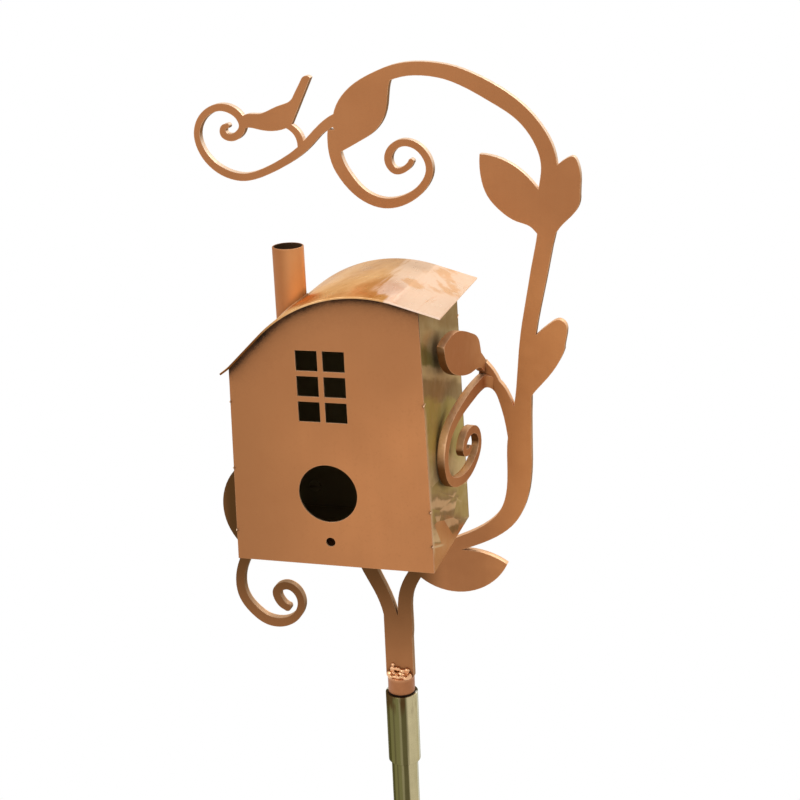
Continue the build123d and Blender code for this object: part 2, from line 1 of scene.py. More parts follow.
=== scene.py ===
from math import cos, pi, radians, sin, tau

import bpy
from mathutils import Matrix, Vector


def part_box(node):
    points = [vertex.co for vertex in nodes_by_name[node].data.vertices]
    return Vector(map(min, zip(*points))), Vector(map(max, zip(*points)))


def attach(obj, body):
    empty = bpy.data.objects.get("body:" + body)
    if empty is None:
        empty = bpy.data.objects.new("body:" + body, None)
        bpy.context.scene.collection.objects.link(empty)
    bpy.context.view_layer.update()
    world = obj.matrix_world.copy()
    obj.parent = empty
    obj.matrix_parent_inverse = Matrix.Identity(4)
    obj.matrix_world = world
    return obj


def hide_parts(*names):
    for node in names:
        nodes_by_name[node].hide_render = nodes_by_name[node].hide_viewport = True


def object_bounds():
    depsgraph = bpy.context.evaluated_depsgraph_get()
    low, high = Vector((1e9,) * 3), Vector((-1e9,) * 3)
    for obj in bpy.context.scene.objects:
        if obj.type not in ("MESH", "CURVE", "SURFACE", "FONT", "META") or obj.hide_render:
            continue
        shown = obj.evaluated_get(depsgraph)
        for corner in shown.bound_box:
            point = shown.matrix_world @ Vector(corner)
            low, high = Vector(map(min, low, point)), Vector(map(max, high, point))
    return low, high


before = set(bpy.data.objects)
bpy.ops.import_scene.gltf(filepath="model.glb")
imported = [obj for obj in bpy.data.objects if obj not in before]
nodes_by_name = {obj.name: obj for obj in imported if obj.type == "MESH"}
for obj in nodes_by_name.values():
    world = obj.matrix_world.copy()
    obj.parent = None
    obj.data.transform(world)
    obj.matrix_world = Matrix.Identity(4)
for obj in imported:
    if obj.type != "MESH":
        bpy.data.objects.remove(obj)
cad_low, cad_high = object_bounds()

# %% [markdown]
# # A copper bird feeder on a garden pole
#
# The frame already holds the built parts in metres: a little sheet-metal house, the flat scroll of
# vines that carries it, and the pole. This lesson gives each of them its finish, softens the edges
# that the cutter left, and adds the small hand-made things that a drawing leaves out: the lumpy weld
# under the stem and the tacks of solder that hold the house's corners together.

MM = 0.001
print("parts in the frame:", len(nodes_by_name))


def colour(red, green, blue):
    """Turns a colour given as 0 to 255 into the linear values that shaders use."""
    linear = []
    for value in (red, green, blue):
        value = value / 255
        linear.append(value / 12.92 if value <= 0.04045 else ((value + 0.055) / 1.055) ** 2.4)
    return (*linear, 1.0)


def deselect_all():
    """Leaves nothing selected, so that the next operator acts on new things only."""
    bpy.ops.object.select_all(action="DESELECT")


# %% [markdown]
# ## Landmarks
#
# The frame can tell where each part is. These corners place the camera's target, the house's seams
# and the weld, so that nothing has to be measured twice.

# %% Landmarks
front_low, front_high = (Vector(corner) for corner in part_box("front_panel"))
back_low, back_high = (Vector(corner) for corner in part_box("back_panel"))
_, collar_high = (Vector(corner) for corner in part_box("upper_collar"))
weld_low, _ = (Vector(corner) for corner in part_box("stem_weld"))
chimney_low, chimney_high = (Vector(corner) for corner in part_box("chimney_tube"))
house_x = (front_low.x + front_high.x) / 2
house_z = front_low.z
house_front = front_low.y
house_back = back_high.y
print("house front at", round(house_front, 4), "lower edge at", round(house_z, 4))

# %% [markdown]
# ## Camera
#
# The photograph was taken from a little to the right and above, and the camera was held at a slight
# lean. A camera's own matrix has its right, up and backward directions as columns, so the view can be
# built from an azimuth, an elevation, a lean and the point that it looks at.

# %% Camera
AZIMUTH, ELEVATION, LEAN = radians(16.48), radians(18.53), radians(-2.46)
LENS_MM, SENSOR_MM = 74.62, 36
DISTANCE, NEAREST = 0.999, 0.01
LOOK_RIGHT, LOOK_UP = 0.0476, 0.1130
look_at = Vector((house_x + LOOK_RIGHT, house_front, house_z + LOOK_UP))

backward = Vector((sin(AZIMUTH) * cos(ELEVATION), -cos(AZIMUTH) * cos(ELEVATION), sin(ELEVATION)))
level = Vector((cos(AZIMUTH), sin(AZIMUTH), 0))
upright = backward.cross(level)
rightward = cos(LEAN) * level + sin(LEAN) * upright
upward = cos(LEAN) * upright - sin(LEAN) * level

deselect_all()
bpy.ops.object.camera_add()
camera = bpy.context.object
camera.data.lens = LENS_MM
camera.data.sensor_width = SENSOR_MM
camera.data.clip_start = NEAREST
turn = Matrix((rightward, upward, backward)).transposed().to_4x4()
camera.matrix_world = Matrix.Translation(look_at + backward * DISTANCE) @ turn
bpy.context.scene.camera = camera
print("camera at", [round(value, 3) for value in camera.location])

# %% [markdown]
# ## Helpers for node trees
#
# The world, the floor and every finish are node trees. Wired by hand, each node takes four or five lines,
# and the idea gets lost among them. Each of these helpers adds one kind of node and gives back its
# socket, so that a tree reads like a formula.

# %% Helpers for node trees
WHITE = (1, 1, 1, 1)


def start_finish(name):
    """Makes an empty material and returns it with its node tree."""
    material = bpy.data.materials.new(name)
    material.use_nodes = True
    material.node_tree.nodes.clear()
    return material, material.node_tree


def plug(tree, value, socket):
    """Sets a socket to a number or a colour, or links another socket to it."""
    if isinstance(value, bpy.types.NodeSocket):
        tree.links.new(value, socket)
    else:
        socket.default_value = value


def place_of(tree):
    """Gives the point of the surface in the object's own coordinates."""
    return tree.nodes.new("ShaderNodeTexCoord").outputs["Object"]


def axes_of(tree, output="Object"):
    """Gives the three parts of the point, or of another coordinate such as the normal."""
    node = tree.nodes.new("ShaderNodeSeparateXYZ")
    tree.links.new(tree.nodes.new("ShaderNodeTexCoord").outputs[output], node.inputs[0])
    return node.outputs["X"], node.outputs["Y"], node.outputs["Z"]


def maths(tree, operation, first, second=0.0, third=0.0, clamp=False):
    """Adds a maths node and returns its result."""
    node = tree.nodes.new("ShaderNodeMath")
    node.operation = operation
    node.use_clamp = clamp
    for value, socket in zip((first, second, third), node.inputs):
        plug(tree, value, socket)
    return node.outputs[0]


def slope(tree, value, low, high, start=0.0, kind="LINEAR"):
    """Runs from the start where the value is low to 1 where it is high."""
    node = tree.nodes.new("ShaderNodeMapRange")
    node.interpolation_type = kind
    plug(tree, value, node.inputs["Value"])
    plug(tree, low, node.inputs["From Min"])
    plug(tree, high, node.inputs["From Max"])
    node.inputs["To Min"].default_value = start
    return node.outputs["Result"]


def smooth_step(tree, value, low, high, start=0.0):
    """Runs as a slope does, with soft ends."""
    return slope(tree, value, low, high, start, kind="SMOOTHSTEP")


def mix_value(tree, share, first, second):
    """Mixes two numbers, which are sockets 2 and 3 of a Mix node."""
    node = tree.nodes.new("ShaderNodeMix")
    plug(tree, share, node.inputs[0])
    plug(tree, first, node.inputs[2])
    plug(tree, second, node.inputs[3])
    return node.outputs[0]


def mix_colour(tree, share, first, second):
    """Mixes two colours, which are sockets 6 and 7 of a Mix node."""
    node = tree.nodes.new("ShaderNodeMix")
    node.data_type = "RGBA"
    plug(tree, share, node.inputs[0])
    plug(tree, first, node.inputs[6])
    plug(tree, second, node.inputs[7])
    return node.outputs[2]


# %% [markdown]
# ## Studio
#
# Metal is what it reflects. A white world that is a little darker on the right gives the sheet a gradient
# to show, while the camera itself sees plain white. One large lamp in front makes the shadow under the
# house, and a smaller one behind draws a light line along the upper edges. The front panel mirrors the
# white paper on the floor, which still takes the object's shadow near the pole.


# %% World
def seen_directly(tree):
    """Gives 1 for rays that see a thing itself: from the camera, in a reflection or through glass."""
    rays = tree.nodes.new("ShaderNodeLightPath").outputs
    mirrored = maths(tree, "MAXIMUM", rays["Is Glossy Ray"], rays["Is Transmission Ray"])
    return maths(tree, "MAXIMUM", rays["Is Camera Ray"], mirrored)


SOFT_LIGHT = 0.55
DARKER_FROM = 0.35
DARKER_WHITE = (0.92, 0.89, 0.82, 1)
bpy.context.scene.view_settings.view_transform = "Standard"
world = bpy.data.worlds.new("studio")
bpy.context.scene.world = world
world.use_nodes = True
sky = world.node_tree
sky.nodes.clear()
sky_out = sky.nodes.new("ShaderNodeOutputWorld")
backdrop = sky.nodes.new("ShaderNodeBackground")
camera_ray = sky.nodes.new("ShaderNodeLightPath").outputs["Is Camera Ray"]
to_the_right, _, _ = axes_of(sky, "Generated")
darker_side = slope(sky, to_the_right, DARKER_FROM, 1.0)
darker_side = maths(sky, "MULTIPLY", darker_side, maths(sky, "SUBTRACT", 1.0, camera_ray))
sky.links.new(mix_colour(sky, darker_side, WHITE, DARKER_WHITE), backdrop.inputs["Color"])
sky.links.new(slope(sky, seen_directly(sky), 0.0, 1.0, start=SOFT_LIGHT), backdrop.inputs["Strength"])
sky.links.new(backdrop.outputs[0], sky_out.inputs[0])
print("world nodes:", len(sky.nodes))


# %% Lamps
def add_lamp(name, place, aim, size, watts, tint):
    """Adds a square area lamp that points from its place to the aim."""
    deselect_all()
    bpy.ops.object.light_add(type="AREA", location=place)
    lamp = bpy.context.object
    lamp.name = name
    lamp.data.shape = "SQUARE"
    lamp.data.size = size
    lamp.data.energy = watts
    lamp.data.color = tint
    lamp.rotation_euler = (Vector(aim) - Vector(place)).to_track_quat("-Z", "Y").to_euler()


house_middle = Vector((house_x, (house_front + house_back) / 2, house_z + 0.1))
add_lamp("front_softbox", (-0.8, -1.6, 2.3), house_middle, size=1.4, watts=20, tint=(1.0, 0.98, 0.95))
add_lamp("back_softbox", (0.9, 1.7, 2.2), house_middle, size=1.2, watts=12, tint=(1.0, 0.97, 0.94))

# %% Floor
FLOOR_GAP = 2 * MM
FLOOR_SIZE = 60.0
SHADOW_REACH = 0.9
NEAR_GLOW = 0.6
deselect_all()
bpy.ops.mesh.primitive_plane_add(size=FLOOR_SIZE, location=(0, 0, cad_low[2] - FLOOR_GAP))
floor = bpy.context.object
floor.name = "studio_floor"
paper, tree = start_finish("white_paper")
matt = tree.nodes.new("ShaderNodeBsdfDiffuse")
glow = tree.nodes.new("ShaderNodeEmission")
both = tree.nodes.new("ShaderNodeMixShader")
paper_out = tree.nodes.new("ShaderNodeOutputMaterial")
matt.inputs["Color"].default_value = (0.85, 0.84, 0.82, 1)
glow.inputs["Color"].default_value = WHITE
from_pole = tree.nodes.new("ShaderNodeVectorMath")
from_pole.operation = "LENGTH"
tree.links.new(place_of(tree), from_pole.inputs[0])
whiteness = smooth_step(tree, from_pole.outputs["Value"], SHADOW_REACH / 3, SHADOW_REACH, start=NEAR_GLOW)
tree.links.new(maths(tree, "MULTIPLY", seen_directly(tree), whiteness), both.inputs[0])
tree.links.new(matt.outputs[0], both.inputs[1])
tree.links.new(glow.outputs[0], both.inputs[2])
tree.links.new(both.outputs[0], paper_out.inputs[0])
floor.data.materials.append(paper)
print("floor at", round(floor.location.z, 3))

# %% [markdown]
# ## Effects that several finishes share
#
# Sheet metal is never one colour: it carries cloudy tarnish, rolling lines and rubbed edges with a painted
# highlight, and dirt gathers in its corners, which are darkened with painted shade as well. Each of these
# could be painted into every material by hand. As node groups with named inputs they are built once, and a
# thin roof and a thick scroll use them at their own scale.


# %% Helpers for the effects
def new_group(name, inputs, outputs):
    """Makes a shader node group with number inputs, given with their defaults, and number outputs."""
    group = bpy.data.node_groups.new(name, "ShaderNodeTree")
    for label, default in inputs:
        socket = group.interface.new_socket(name=label, in_out="INPUT", socket_type="NodeSocketFloat")
        socket.default_value = default
    for label in outputs:
        group.interface.new_socket(name=label, in_out="OUTPUT", socket_type="NodeSocketFloat")
    return group, group.nodes.new("NodeGroupInput"), group.nodes.new("NodeGroupOutput")


def noise_at(tree, vector, scale, detail, roughness):
    """Adds a noise texture at the given coordinates and returns its grey value."""
    node = tree.nodes.new("ShaderNodeTexNoise")
    plug(tree, vector, node.inputs["Vector"])
    plug(tree, scale, node.inputs["Scale"])
    node.inputs["Detail"].default_value = detail
    node.inputs["Roughness"].default_value = roughness
    return node.outputs["Fac"]


def stretched(tree, lengths, turn=(0, 0, 0)):
    """Gives the object's coordinates turned, with a pattern on them drawn out along each turned axis."""
    node = tree.nodes.new("ShaderNodeMapping")
    node.vector_type = "TEXTURE"
    plug(tree, place_of(tree), node.inputs["Vector"])
    node.inputs["Rotation"].default_value = turn
    node.inputs["Scale"].default_value = lengths
    return node.outputs[0]


# %% Cloudy tarnish
tarnish, entry, leave = new_group("tarnish_clouds", [("Scale", 18.0)], ["Clouds", "Mottle", "Flecks"])
for label, finer, detail, roughness, low, high in (
    ("Clouds", 1.0, 3.0, 0.55, 0.32, 0.70),
    ("Mottle", 7.0, 6.0, 0.62, 0.30, 0.72),
    ("Flecks", 60.0, 2.0, 0.50, 0.56, 0.74),
):
    scale = maths(tarnish, "MULTIPLY", entry.outputs["Scale"], finer)
    grey = noise_at(tarnish, place_of(tarnish), scale, detail, roughness)
    tarnish.links.new(smooth_step(tarnish, grey, low, high), leave.inputs[label])
print("tarnish:", len(tarnish.nodes), "nodes")

# %% Rolling lines
LINE_LENGTH = 28
rolling, entry, leave = new_group("rolling_lines", [("Lines", 260.0)], ["Lines"])
drawn_out = stretched(rolling, (1, 1, LINE_LENGTH))
lines = noise_at(rolling, drawn_out, entry.outputs["Lines"], detail=4.0, roughness=0.6)
rolling.links.new(lines, leave.inputs["Lines"])
print("rolling lines:", len(rolling.nodes), "nodes")

# %% Rubbed edges and painted highlights
rub_and_highlight_group, entry, leave = new_group("rubbed_edges_and_highlights", [("Radius", 0.8 * MM), ("Breakup", 160.0)], ["Rub"])
# The rounded edges get wear and a painted highlight together.
rounded = rub_and_highlight_group.nodes.new("ShaderNodeBevel")
rounded.samples = 6
rub_and_highlight_group.links.new(entry.outputs["Radius"], rounded.inputs["Radius"])
facing = rub_and_highlight_group.nodes.new("ShaderNodeNewGeometry")
agreement = rub_and_highlight_group.nodes.new("ShaderNodeVectorMath")
agreement.operation = "DOT_PRODUCT"
rub_and_highlight_group.links.new(rounded.outputs[0], agreement.inputs[0])
rub_and_highlight_group.links.new(facing.outputs["Normal"], agreement.inputs[1])
turning = smooth_step(rub_and_highlight_group, maths(rub_and_highlight_group, "SUBTRACT", 1.0, agreement.outputs["Value"]), 0.01, 0.16)
breakup = noise_at(rub_and_highlight_group, place_of(rub_and_highlight_group), entry.outputs["Breakup"], detail=4.0, roughness=0.6)
rub_and_highlight = maths(rub_and_highlight_group, "MULTIPLY", turning, smooth_step(rub_and_highlight_group, breakup, 0.25, 0.6))
rub_and_highlight_group.links.new(rub_and_highlight, leave.inputs["Rub"])
print("rubbed edges:", len(rub_and_highlight_group.nodes), "nodes")

# %% Dirt and painted shade in corners
dirt_and_shade_group, entry, leave = new_group("corner_dirt_and_shade", [("Distance", 6 * MM), ("Full", 0.6)], ["Dirt"])
shelter = dirt_and_shade_group.nodes.new("ShaderNodeAmbientOcclusion")
shelter.samples = 6
dirt_and_shade_group.links.new(entry.outputs["Distance"], shelter.inputs["Distance"])
# The darkening in corners is dirt and painted shade together.
closed_in = maths(dirt_and_shade_group, "SUBTRACT", 1.0, shelter.outputs["AO"])
first_dirt_and_shade = maths(dirt_and_shade_group, "MULTIPLY", entry.outputs["Full"], 0.1)
hidden = smooth_step(dirt_and_shade_group, closed_in, first_dirt_and_shade, entry.outputs["Full"])
speckle = noise_at(dirt_and_shade_group, place_of(dirt_and_shade_group), 120.0, detail=5.0, roughness=0.65)
dirt_and_shade = maths(dirt_and_shade_group, "MULTIPLY", hidden, maths(dirt_and_shade_group, "ADD", speckle, 0.4), clamp=True)
dirt_and_shade_group.links.new(dirt_and_shade, leave.inputs["Dirt"])
print("shared effects:", [group.name for group in bpy.data.node_groups])

# %% [markdown]
# ## One recipe for every metal
#
# All the visible parts are metal with the same history: rolled or drawn, handled, left outdoors. So the
# finishes share one recipe. It takes a base colour, a tarnish colour and a rubbed colour, and each part
# then adds its own layers on top, such as a dark inside or a stain. A separate tree for every part
# would allow more freedom, but the parts would stop looking like one object.

# %% The recipe
DIRT_AND_SHADE_COLOUR, DIRT_AND_SHADE_ROUGHNESS = colour(58, 38, 22), 0.75
LINE_SHARE, FLECK_SHARE, RUB_AND_HIGHLIGHT_SHARE = 0.35, 0.2, 0.8
GRAIN_DEPTH = 0.3 * MM


def effect(tree, group, **values):
    """Places a shared effect in a material with its own values and returns its outputs."""
    node = tree.nodes.new("ShaderNodeGroup")
    node.node_tree = group
    for label, value in values.items():
        node.inputs[label].default_value = value
    return node.outputs


def metal(tree, base, tarnished, bright, gloss=(0.3, 0.5), metallic=1.0, rim=WHITE, scale=18.0,
          lines=260.0, wear_and_highlight_radius=0.8 * MM, grain=0.2, cloudiness=0.6, dirt_and_shade_share=0.6, nook=6 * MM, covered=0.6,
          layers=(), swell=None):
    """Finishes a metal: tarnish, lines, rubbed edges with a painted highlight, dirt with painted shade in
    corners, then layers of (mask, colour, roughness).
    """
    shader = tree.nodes.new("ShaderNodeBsdfPrincipled")
    out = tree.nodes.new("ShaderNodeOutputMaterial")
    cloudy = effect(tree, tarnish, Scale=scale)
    rolled = effect(tree, rolling, Lines=lines)["Lines"]
    rub_and_highlight = effect(tree, rub_and_highlight_group, Radius=wear_and_highlight_radius)["Rub"]
    dirt_and_shade = effect(tree, dirt_and_shade_group, Distance=nook, Full=covered)["Dirt"]
    tint = base
    for mask, share in (
        (cloudy["Clouds"], cloudiness),
        (rolled, LINE_SHARE),
        (cloudy["Flecks"], FLECK_SHARE),
    ):
        tint = mix_colour(tree, maths(tree, "MULTIPLY", mask, share), tint, tarnished)
    rough = maths(tree, "MULTIPLY_ADD", cloudy["Mottle"], gloss[1] - gloss[0], gloss[0])
    # Rubbed edges get a painted highlight, and corners get dirt with painted shade.
    for mask, colour_on_top, roughness_on_top in (
        (maths(tree, "MULTIPLY", rub_and_highlight, RUB_AND_HIGHLIGHT_SHARE), bright, gloss[0]),
        (maths(tree, "MULTIPLY", dirt_and_shade, dirt_and_shade_share), DIRT_AND_SHADE_COLOUR, DIRT_AND_SHADE_ROUGHNESS),
        *layers,
    ):
        tint = mix_colour(tree, mask, tint, colour_on_top)
        rough = mix_value(tree, mask, rough, roughness_on_top)
    bump = tree.nodes.new("ShaderNodeBump")
    bump.inputs["Strength"].default_value = grain
    bump.inputs["Distance"].default_value = GRAIN_DEPTH
    tree.links.new(maths(tree, "MULTIPLY_ADD", rolled, 0.5, cloudy["Mottle"]), bump.inputs["Height"])
    if swell is not None:
        tree.links.new(swell, bump.inputs["Normal"])
    tree.links.new(tint, shader.inputs["Base Color"])
    tree.links.new(rough, shader.inputs["Roughness"])
    tree.links.new(bump.outputs[0], shader.inputs["Normal"])
    shader.inputs["Metallic"].default_value = metallic
    shader.inputs["Specular Tint"].default_value = rim
    tree.links.new(shader.outputs[0], out.inputs[0])


def dress(finish, *names):
    """Gives CAD parts their finish."""
    for name in names:
        nodes_by_name[name].data.materials.clear()
        nodes_by_name[name].data.materials.append(finish)


# %% [markdown]
# ## Satin copper on the scroll
#
# The scroll was cut from plate and given a satin copper finish. Its broad faces are even. The cut edges
# were dressed with a file. Those that face up get a painted highlight, nearly white high on the arch, and
# those that face down get painted shade. Under the house the copper carries a brown painted shadow of the
# house, and lower on the right it is painted lighter. Edges could be given a second material slot, but the
# plate's own normal already tells a broad face from a cut edge, so a mask from it follows every curl.

# %% Masks for the scroll
BEND_ENDS = (-11 * MM, -9 * MM)
BEND_STARTS = (-2.6 * MM, -3.4 * MM)
HOUSE_SHADOW_MIDDLE = house_x - 0.040


def all_of(tree, *masks):
    """Multiplies masks."""
    product = masks[0]
    for mask in masks[1:]:
        product = maths(tree, "MULTIPLY", product, mask)
    return product


def distance(tree, value, middle):
    """Gives how far a value is from a middle."""
    return maths(tree, "ABSOLUTE", maths(tree, "SUBTRACT", value, middle))


def cut_edge_mask(tree):
    """Gives 1 on the plate's cut edges, also where the shoot is bent forward, and 0 on its broad faces."""
    _, y, _ = axes_of(tree)
    across, along, _ = axes_of(tree, "Normal")
    level_face = all_of(tree, maths(tree, "ABSOLUTE", along), smooth_step(tree, y, *BEND_ENDS))
    bent_face = all_of(tree, maths(tree, "ABSOLUTE", across), smooth_step(tree, y, *BEND_STARTS))
    broad = maths(tree, "MAXIMUM", level_face, bent_face)
    return smooth_step(tree, broad, 0.68, 0.35)


def house_shadow_mask(tree):
    """Gives 1 on the scroll's front where the house's painted shadow falls, and fades out below it."""
    x, y, z = axes_of(tree)
    return all_of(
        tree,
        smooth_step(tree, distance(tree, x, HOUSE_SHADOW_MIDDLE), 0.088, 0.066),
        smooth_step(tree, z, house_z - 0.150, house_z - 0.015),
        smooth_step(tree, z, house_z + 0.18, house_z + 0.14),
        smooth_step(tree, y, 2.4 * MM, 1.6 * MM),
    )


# %% Scroll finish
# Cut edges get a painted highlight where they face up and painted shade where they face down.
EDGE_SHADE, EDGE_HIGHLIGHT, EDGE_HIGHLIGHT_HIGH_UP = colour(116, 78, 42), colour(252, 206, 164), colour(255, 230, 206)
scroll_finish, tree = start_finish("satin_scroll_copper")
x, _, z = axes_of(tree)
_, _, edge_rise = axes_of(tree, "Normal")
file_marks = noise_at(tree, stretched(tree, (1, 25, 1)), 900.0, detail=3.0, roughness=0.6)
filed = maths(tree, "MULTIPLY_ADD", file_marks, 0.4, 0.7)
high_up = smooth_step(tree, z, house_z + 0.19, house_z + 0.24)
highlighted_edge = mix_colour(tree, high_up, EDGE_HIGHLIGHT, EDGE_HIGHLIGHT_HIGH_UP)
lit_and_shaded_edge = mix_colour(tree, smooth_step(tree, edge_rise, -0.2, 0.4), EDGE_SHADE, highlighted_edge)
# The lower right of the scroll is painted lighter, as painted light.
lit_low_right = all_of(
    tree,
    smooth_step(tree, x, house_x + 0.06, house_x + 0.11),
    smooth_step(tree, z, house_z + 0.22, house_z + 0.12),
)
metal(
    tree,
    base=mix_colour(tree, lit_low_right, colour(183, 123, 78), colour(205, 138, 84)),
    tarnished=mix_colour(tree, lit_low_right, colour(164, 107, 66), colour(186, 122, 74)),
    bright=colour(240, 196, 156),
    gloss=(0.40, 0.52),
    metallic=0.7,
    rim=(0.85, 0.62, 0.40, 1),
    scale=14.0,
    wear_and_highlight_radius=0.9 * MM,
    layers=[
        (all_of(tree, cut_edge_mask(tree), filed), lit_and_shaded_edge, 0.48),
        # The house's shadow is painted brown on the scroll.
        (maths(tree, "MULTIPLY", house_shadow_mask(tree), 0.95), colour(76, 50, 20), 0.55),
    ],
)
dress(scroll_finish, "scroll_plate")
print("scroll finish:", len(tree.nodes), "nodes")

# %% [markdown]
# ## The front panel
#
# The front is the flattest piece of sheet and shows the rolling lines best. Painted light makes it darker
# on its left and lighter on its right, painted shade lies under the roof's rim, and the edges of the
# windows and of the entry hole are pale where the cutter left them bare.
# Its back is the inside of the house, which is dull and dark. The sheet is thin, so the inside needs no
# second material either: a step within its thickness divides the two faces.

# %% Inside of the house
SHEET = front_high.y - front_low.y
DARK_INSIDE, DULL = colour(150, 132, 92), 0.9


def depth_mask(tree, point, inward, soft=0.2 * MM):
    """Gives 1 on the inward side of a point, where a sheet is the inside of the house."""
    node = tree.nodes.new("ShaderNodeVectorMath")
    node.operation = "DOT_PRODUCT"
    tree.links.new(place_of(tree), node.inputs[0])
    node.inputs[1].default_value = inward
    middle = Vector(point).dot(Vector(inward))
    return smooth_step(tree, node.outputs["Value"], middle - soft, middle + soft)


print("sheet thickness:", round(SHEET / MM, 2), "mm")

# %% Front finish
front_finish, tree = start_finish("satin_front_copper")
x, _, z = axes_of(tree)
_, flatness, _ = axes_of(tree, "Normal")
# Painted light: darker on the left of the front, lighter on its right.
light_to_the_right = smooth_step(tree, x, front_low.x, house_x + 0.02)
lowness = smooth_step(tree, z, front_high.z, house_z + 0.08)
front_base = mix_colour(tree, light_to_the_right, colour(168, 112, 67), colour(206, 138, 85))
front_base = mix_colour(tree, lowness, colour(178, 120, 75), front_base)
cut_rim = all_of(
    tree,
    smooth_step(tree, maths(tree, "ABSOLUTE", flatness), 0.7, 0.35),
    smooth_step(tree, distance(tree, x, house_x), 0.055, 0.050),
)
inner_face = depth_mask(tree, (0, front_high.y - 0.15 * MM, 0), (0, 1, 0), soft=0.1 * MM)
metal(
    tree,
    base=front_base,
    tarnished=colour(168, 110, 66),
    bright=colour(232, 182, 140),
    gloss=(0.40, 0.50),
    metallic=0.75,
    scale=9.0,
    lines=120.0,
    wear_and_highlight_radius=0.7 * MM,
    # A strong, wide corner darkening paints the shade under the roof's rim.
    dirt_and_shade_share=1.0,
    nook=20 * MM,
    covered=0.14,
    layers=[(cut_rim, colour(250, 212, 172), 0.45), (inner_face, DARK_INSIDE, DULL)],
)
dress(front_finish, "front_panel")
print("front finish:", len(tree.nodes), "nodes")

# %% [markdown]
# ## Polished walls
#
# The walls were left brighter than the front, and the right one mirrors its surroundings in bands of
# khaki, olive and pink. A plain studio has nothing of the kind to mirror, so the bands are painted as a
# row of colours over the height. They fall a little towards the back, waves bend them because the sheet
# is not flat, and near the foot they break into facets. Solder ran along the wall's front edge, and a pale
# line crosses its foot. A wide, shallow swell in the normal makes the gloss uneven too, without moving
# the sheet off its seat.


# %% Helpers for sheet
def swelling(tree, scale, depth):
    """Gives a normal with a wide, shallow swell, as thin sheet has."""
    node = tree.nodes.new("ShaderNodeBump")
    node.inputs["Strength"].default_value = 1.0
    node.inputs["Distance"].default_value = depth
    wide = noise_at(tree, place_of(tree), scale, detail=2.0, roughness=0.4)
    tree.links.new(wide, node.inputs["Height"])
    return node.outputs[0]


def colour_bands(tree, place, stops):
    """Gives colours along a value from 0 to 1; each stop is (place, colour)."""
    bands = tree.nodes.new("ShaderNodeValToRGB")
    ramp = bands.color_ramp
    ramp.elements[0].position, ramp.elements[0].color = stops[0]
    ramp.elements[1].position, ramp.elements[1].color = stops[-1]
    for position, band_colour in stops[1:-1]:
        ramp.elements.new(position).color = band_colour
    tree.links.new(place, bands.inputs[0])
    return bands.outputs[0]


def wobble(tree, grey, amount):
    """Turns a grey value into a shift to either side, with the given amount from end to end."""
    return maths(tree, "MULTIPLY", maths(tree, "SUBTRACT", grey, 0.5), amount)


# %% Mirrored bands
WALL_TOP = 0.210
BAND_TILT = 0.35
DEPTH_SQUEEZE = 0.3
WAVE_SCALE, WAVE_SHIFT = 70.0, 0.09
FACET_SCALE, FACET_SHIFT = 95.0, 0.115
FACETS_END, FACETS_FULL = 0.42, 0.23


def tilted_height(tree):
    """Gives the depth on a wall and a height above its foot, along lines that fall towards the back."""
    _, y, z = axes_of(tree)
    fall = maths(tree, "MULTIPLY", maths(tree, "SUBTRACT", y, house_front), BAND_TILT)
    return y, maths(tree, "ADD", maths(tree, "SUBTRACT", z, house_z), fall)


def mirrored_height(tree):
    """Gives a height as a share of the wall's top, wavy, and broken into facets near the foot."""
    y, rise = tilted_height(tree)
    height = maths(tree, "MULTIPLY", rise, 1 / WALL_TOP)
    spread = tree.nodes.new("ShaderNodeCombineXYZ")
    plug(tree, maths(tree, "MULTIPLY", y, DEPTH_SQUEEZE), spread.inputs["Y"])
    plug(tree, rise, spread.inputs["Z"])
    waves = noise_at(tree, spread.outputs[0], WAVE_SCALE, detail=4.0, roughness=0.55)
    facets = tree.nodes.new("ShaderNodeTexVoronoi")
    tree.links.new(spread.outputs[0], facets.inputs["Vector"])
    facets.inputs["Scale"].default_value = FACET_SCALE
    facet_grey = tree.nodes.new("ShaderNodeSeparateColor")
    tree.links.new(facets.outputs["Color"], facet_grey.inputs[0])
    low_down = smooth_step(tree, height, FACETS_END, FACETS_FULL)
    jumps = all_of(tree, wobble(tree, facet_grey.outputs[0], FACET_SHIFT), low_down)
    return maths(tree, "ADD", maths(tree, "ADD", height, wobble(tree, waves, WAVE_SHIFT)), jumps)


# %% Solder along the seam
FOOT_TACK_RISE = 0.0175


def seam_mask(tree):
    """Gives 1 on the solder that ran along a wall's front edge, and on a pale line across its foot."""
    y, rise = tilted_height(tree)
    uneven = noise_at(tree, place_of(tree), 150.0, detail=4.0, roughness=0.6)
    reach = maths(tree, "MULTIPLY_ADD", uneven, 8 * MM, house_front + 3 * MM)
    run = all_of(
        tree,
        smooth_step(tree, y, reach, house_front + 2 * MM),
        smooth_step(tree, rise, 0.010, 0.017),
        smooth_step(tree, rise, 0.112, 0.100),
    )
    mark = all_of(
        tree,
        smooth_step(tree, distance(tree, rise, FOOT_TACK_RISE), 1.1 * MM, 0.4 * MM),
        smooth_step(tree, y, house_front + 0.030, house_front + 0.018),
    )
    return maths(tree, "MAXIMUM", run, mark)


# %% Wall finish
WALL_STAIN, WALL_SMEAR, SEAM_SOLDER = colour(96, 72, 36), colour(214, 190, 146), colour(226, 192, 150)
SMEAR_SHARE = 0.18


